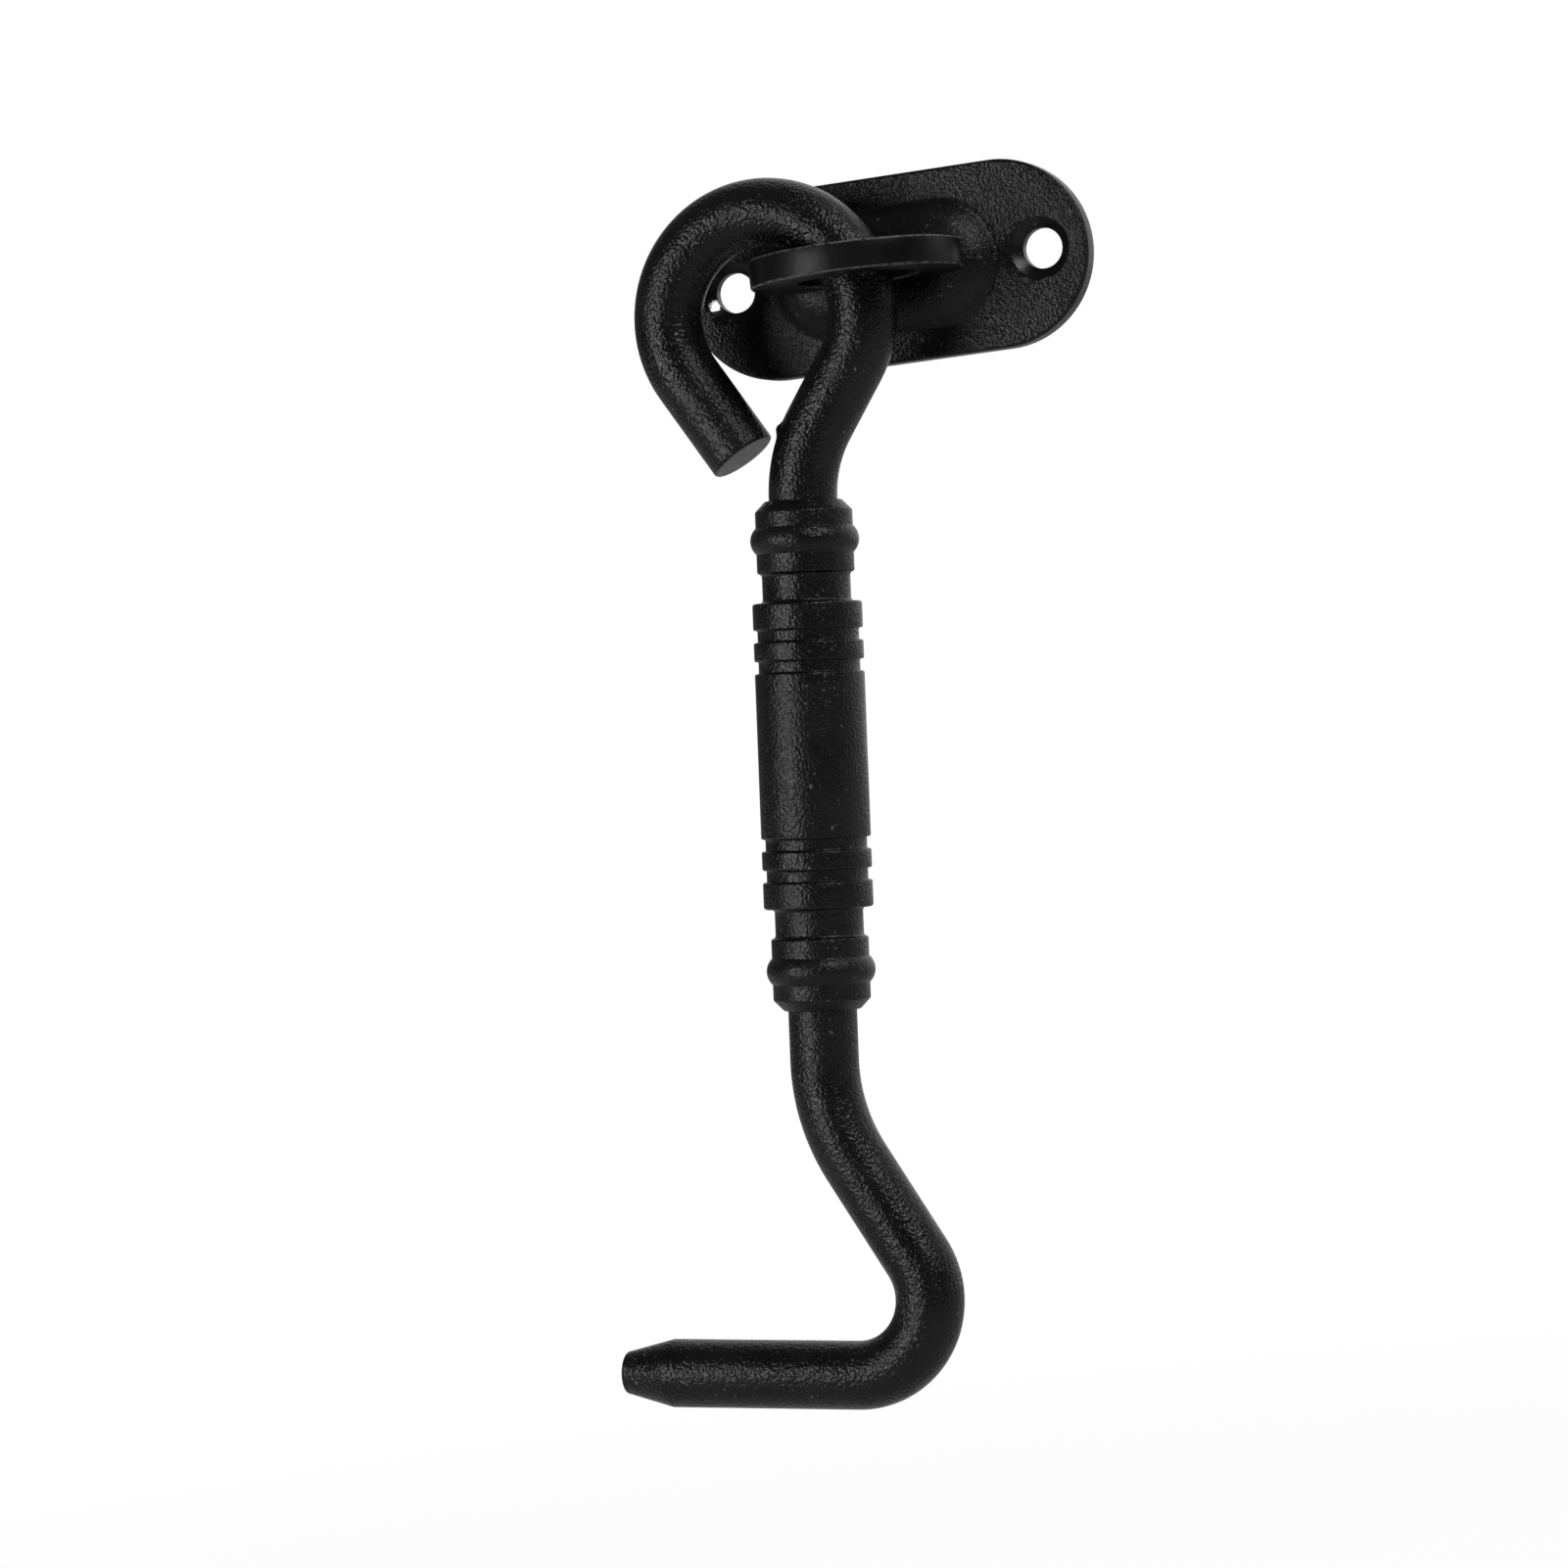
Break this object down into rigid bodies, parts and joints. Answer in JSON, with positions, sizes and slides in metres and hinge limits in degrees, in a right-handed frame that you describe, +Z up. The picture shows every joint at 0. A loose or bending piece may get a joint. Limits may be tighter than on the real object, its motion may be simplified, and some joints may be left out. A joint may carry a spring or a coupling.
{
  "type": "hook and eye latch",
  "caption": "Wall-mounted cabin hook: a bent round bar with a turned grip swings by its curled end from a flat eye on a slotted-boss plate and drops into a keeper eye.",
  "frame": {"origin": "centre of the plate's back face, midway between the screw holes", "axes": "+X along the plate, +Y into the wall, +Z up; the hook hangs in front of the plate on the -Y side"},
  "size_m": [0.0723, 0.0268, 0.1507],
  "materials": {
    "plate_coat": "textured black powder coat",
    "eye_coat": "smooth semi-gloss black coat",
    "bar_coat": "textured black powder coat",
    "grip_coat": "textured black powder coat"
  },
  "bodies": {
    "plate": {"base_plate": "plate_coat", "eye_ring": "eye_coat"},
    "hook": {"hook_bar": "bar_coat", "grip_sleeve": "grip_coat"}
  },
  "joints": [
    {"name": "hook_swing", "type": "hinge", "parent": "plate", "child": "hook", "pos_m": [-0.0123, -0.0138, -0.00456], "axis": [0, -1, 0], "range_deg": [-150, 60]}
  ]
}
